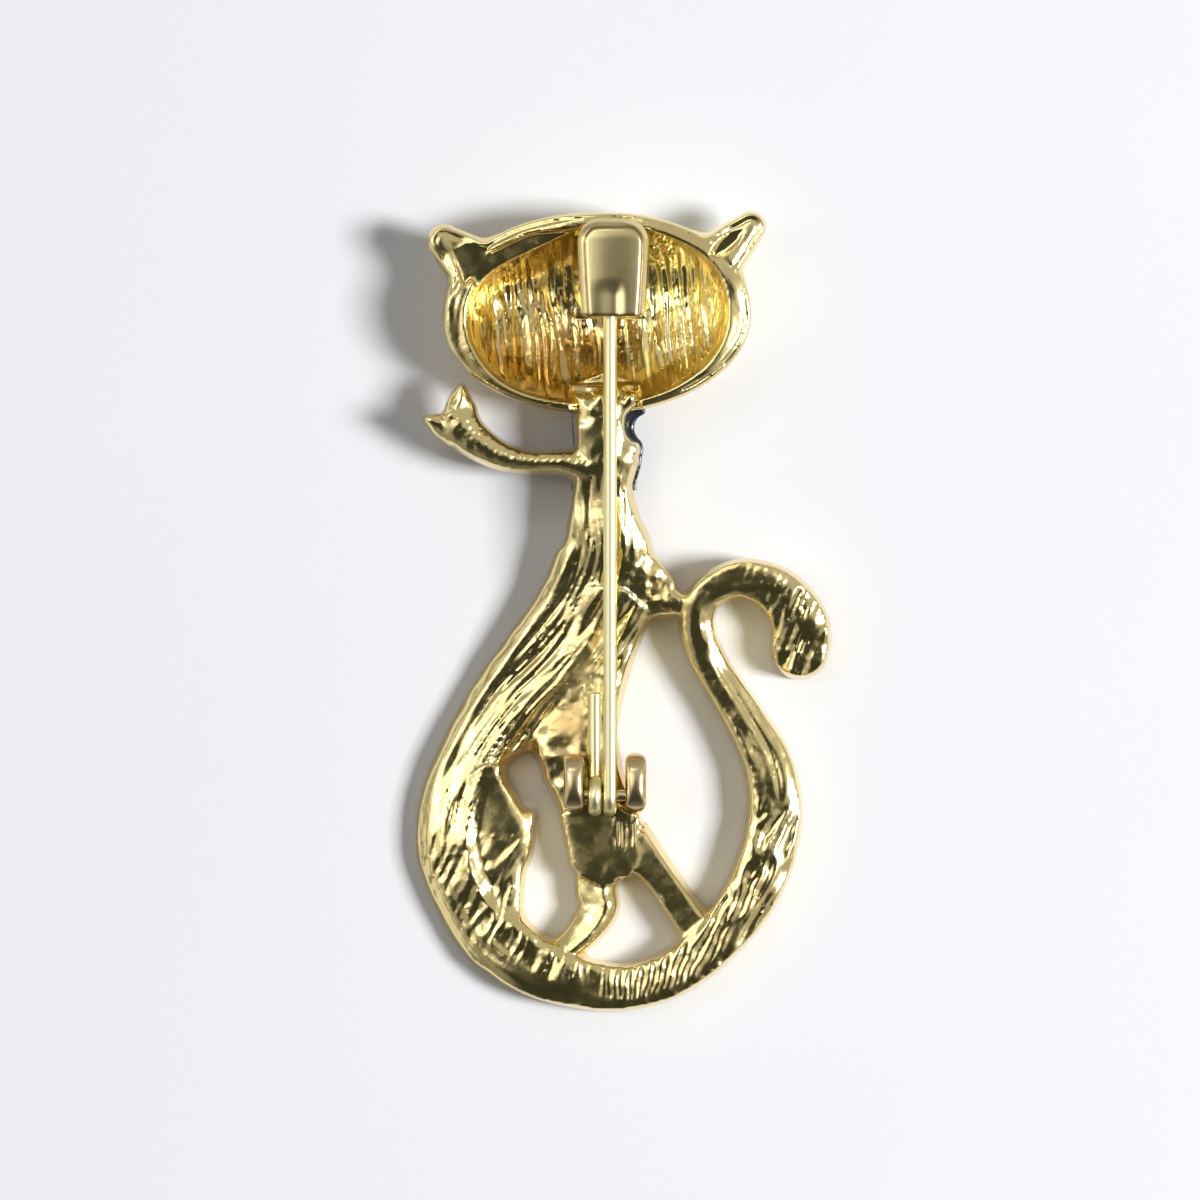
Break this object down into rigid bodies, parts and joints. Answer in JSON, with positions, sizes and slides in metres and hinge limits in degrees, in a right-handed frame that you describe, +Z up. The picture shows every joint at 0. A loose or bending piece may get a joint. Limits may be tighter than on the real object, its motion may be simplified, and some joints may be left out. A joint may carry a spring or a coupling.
{
  "type": "figural cat brooch",
  "caption": "Cast metal cat brooch with hollow head, raised arm and long curled tail, lying face down to show its hinged pin and hood catch.",
  "frame": {"origin": "on the table under the middle of the cat's width and length, where the brooch lies on its face", "axes": "+Z up from the table, out of the brooch's back; +Y from the tail's loop to the ears, along the pin; +X to the tail's hook"},
  "size_m": [0.0278, 0.0534, 0.0073],
  "materials": {
    "gold_plate": "bright pale gold plate with dark hollows",
    "dark_enamel": "glossy blue-black enamel",
    "pale_wire": "bright pale brass wire"
  },
  "bodies": {
    "brooch": {"cat_casting": "gold_plate", "front_enamel": "dark_enamel", "hinge_rivet": "gold_plate", "spring_tail": "pale_wire"},
    "pin": {"pin_stem": "pale_wire"}
  },
  "joints": [
    {"name": "stem_swing", "type": "hinge", "parent": "brooch", "child": "pin", "pos_m": [-0.0009, -0.01226, 0.0041], "axis": [1, 0, 0], "range_deg": [0, 75]}
  ]
}
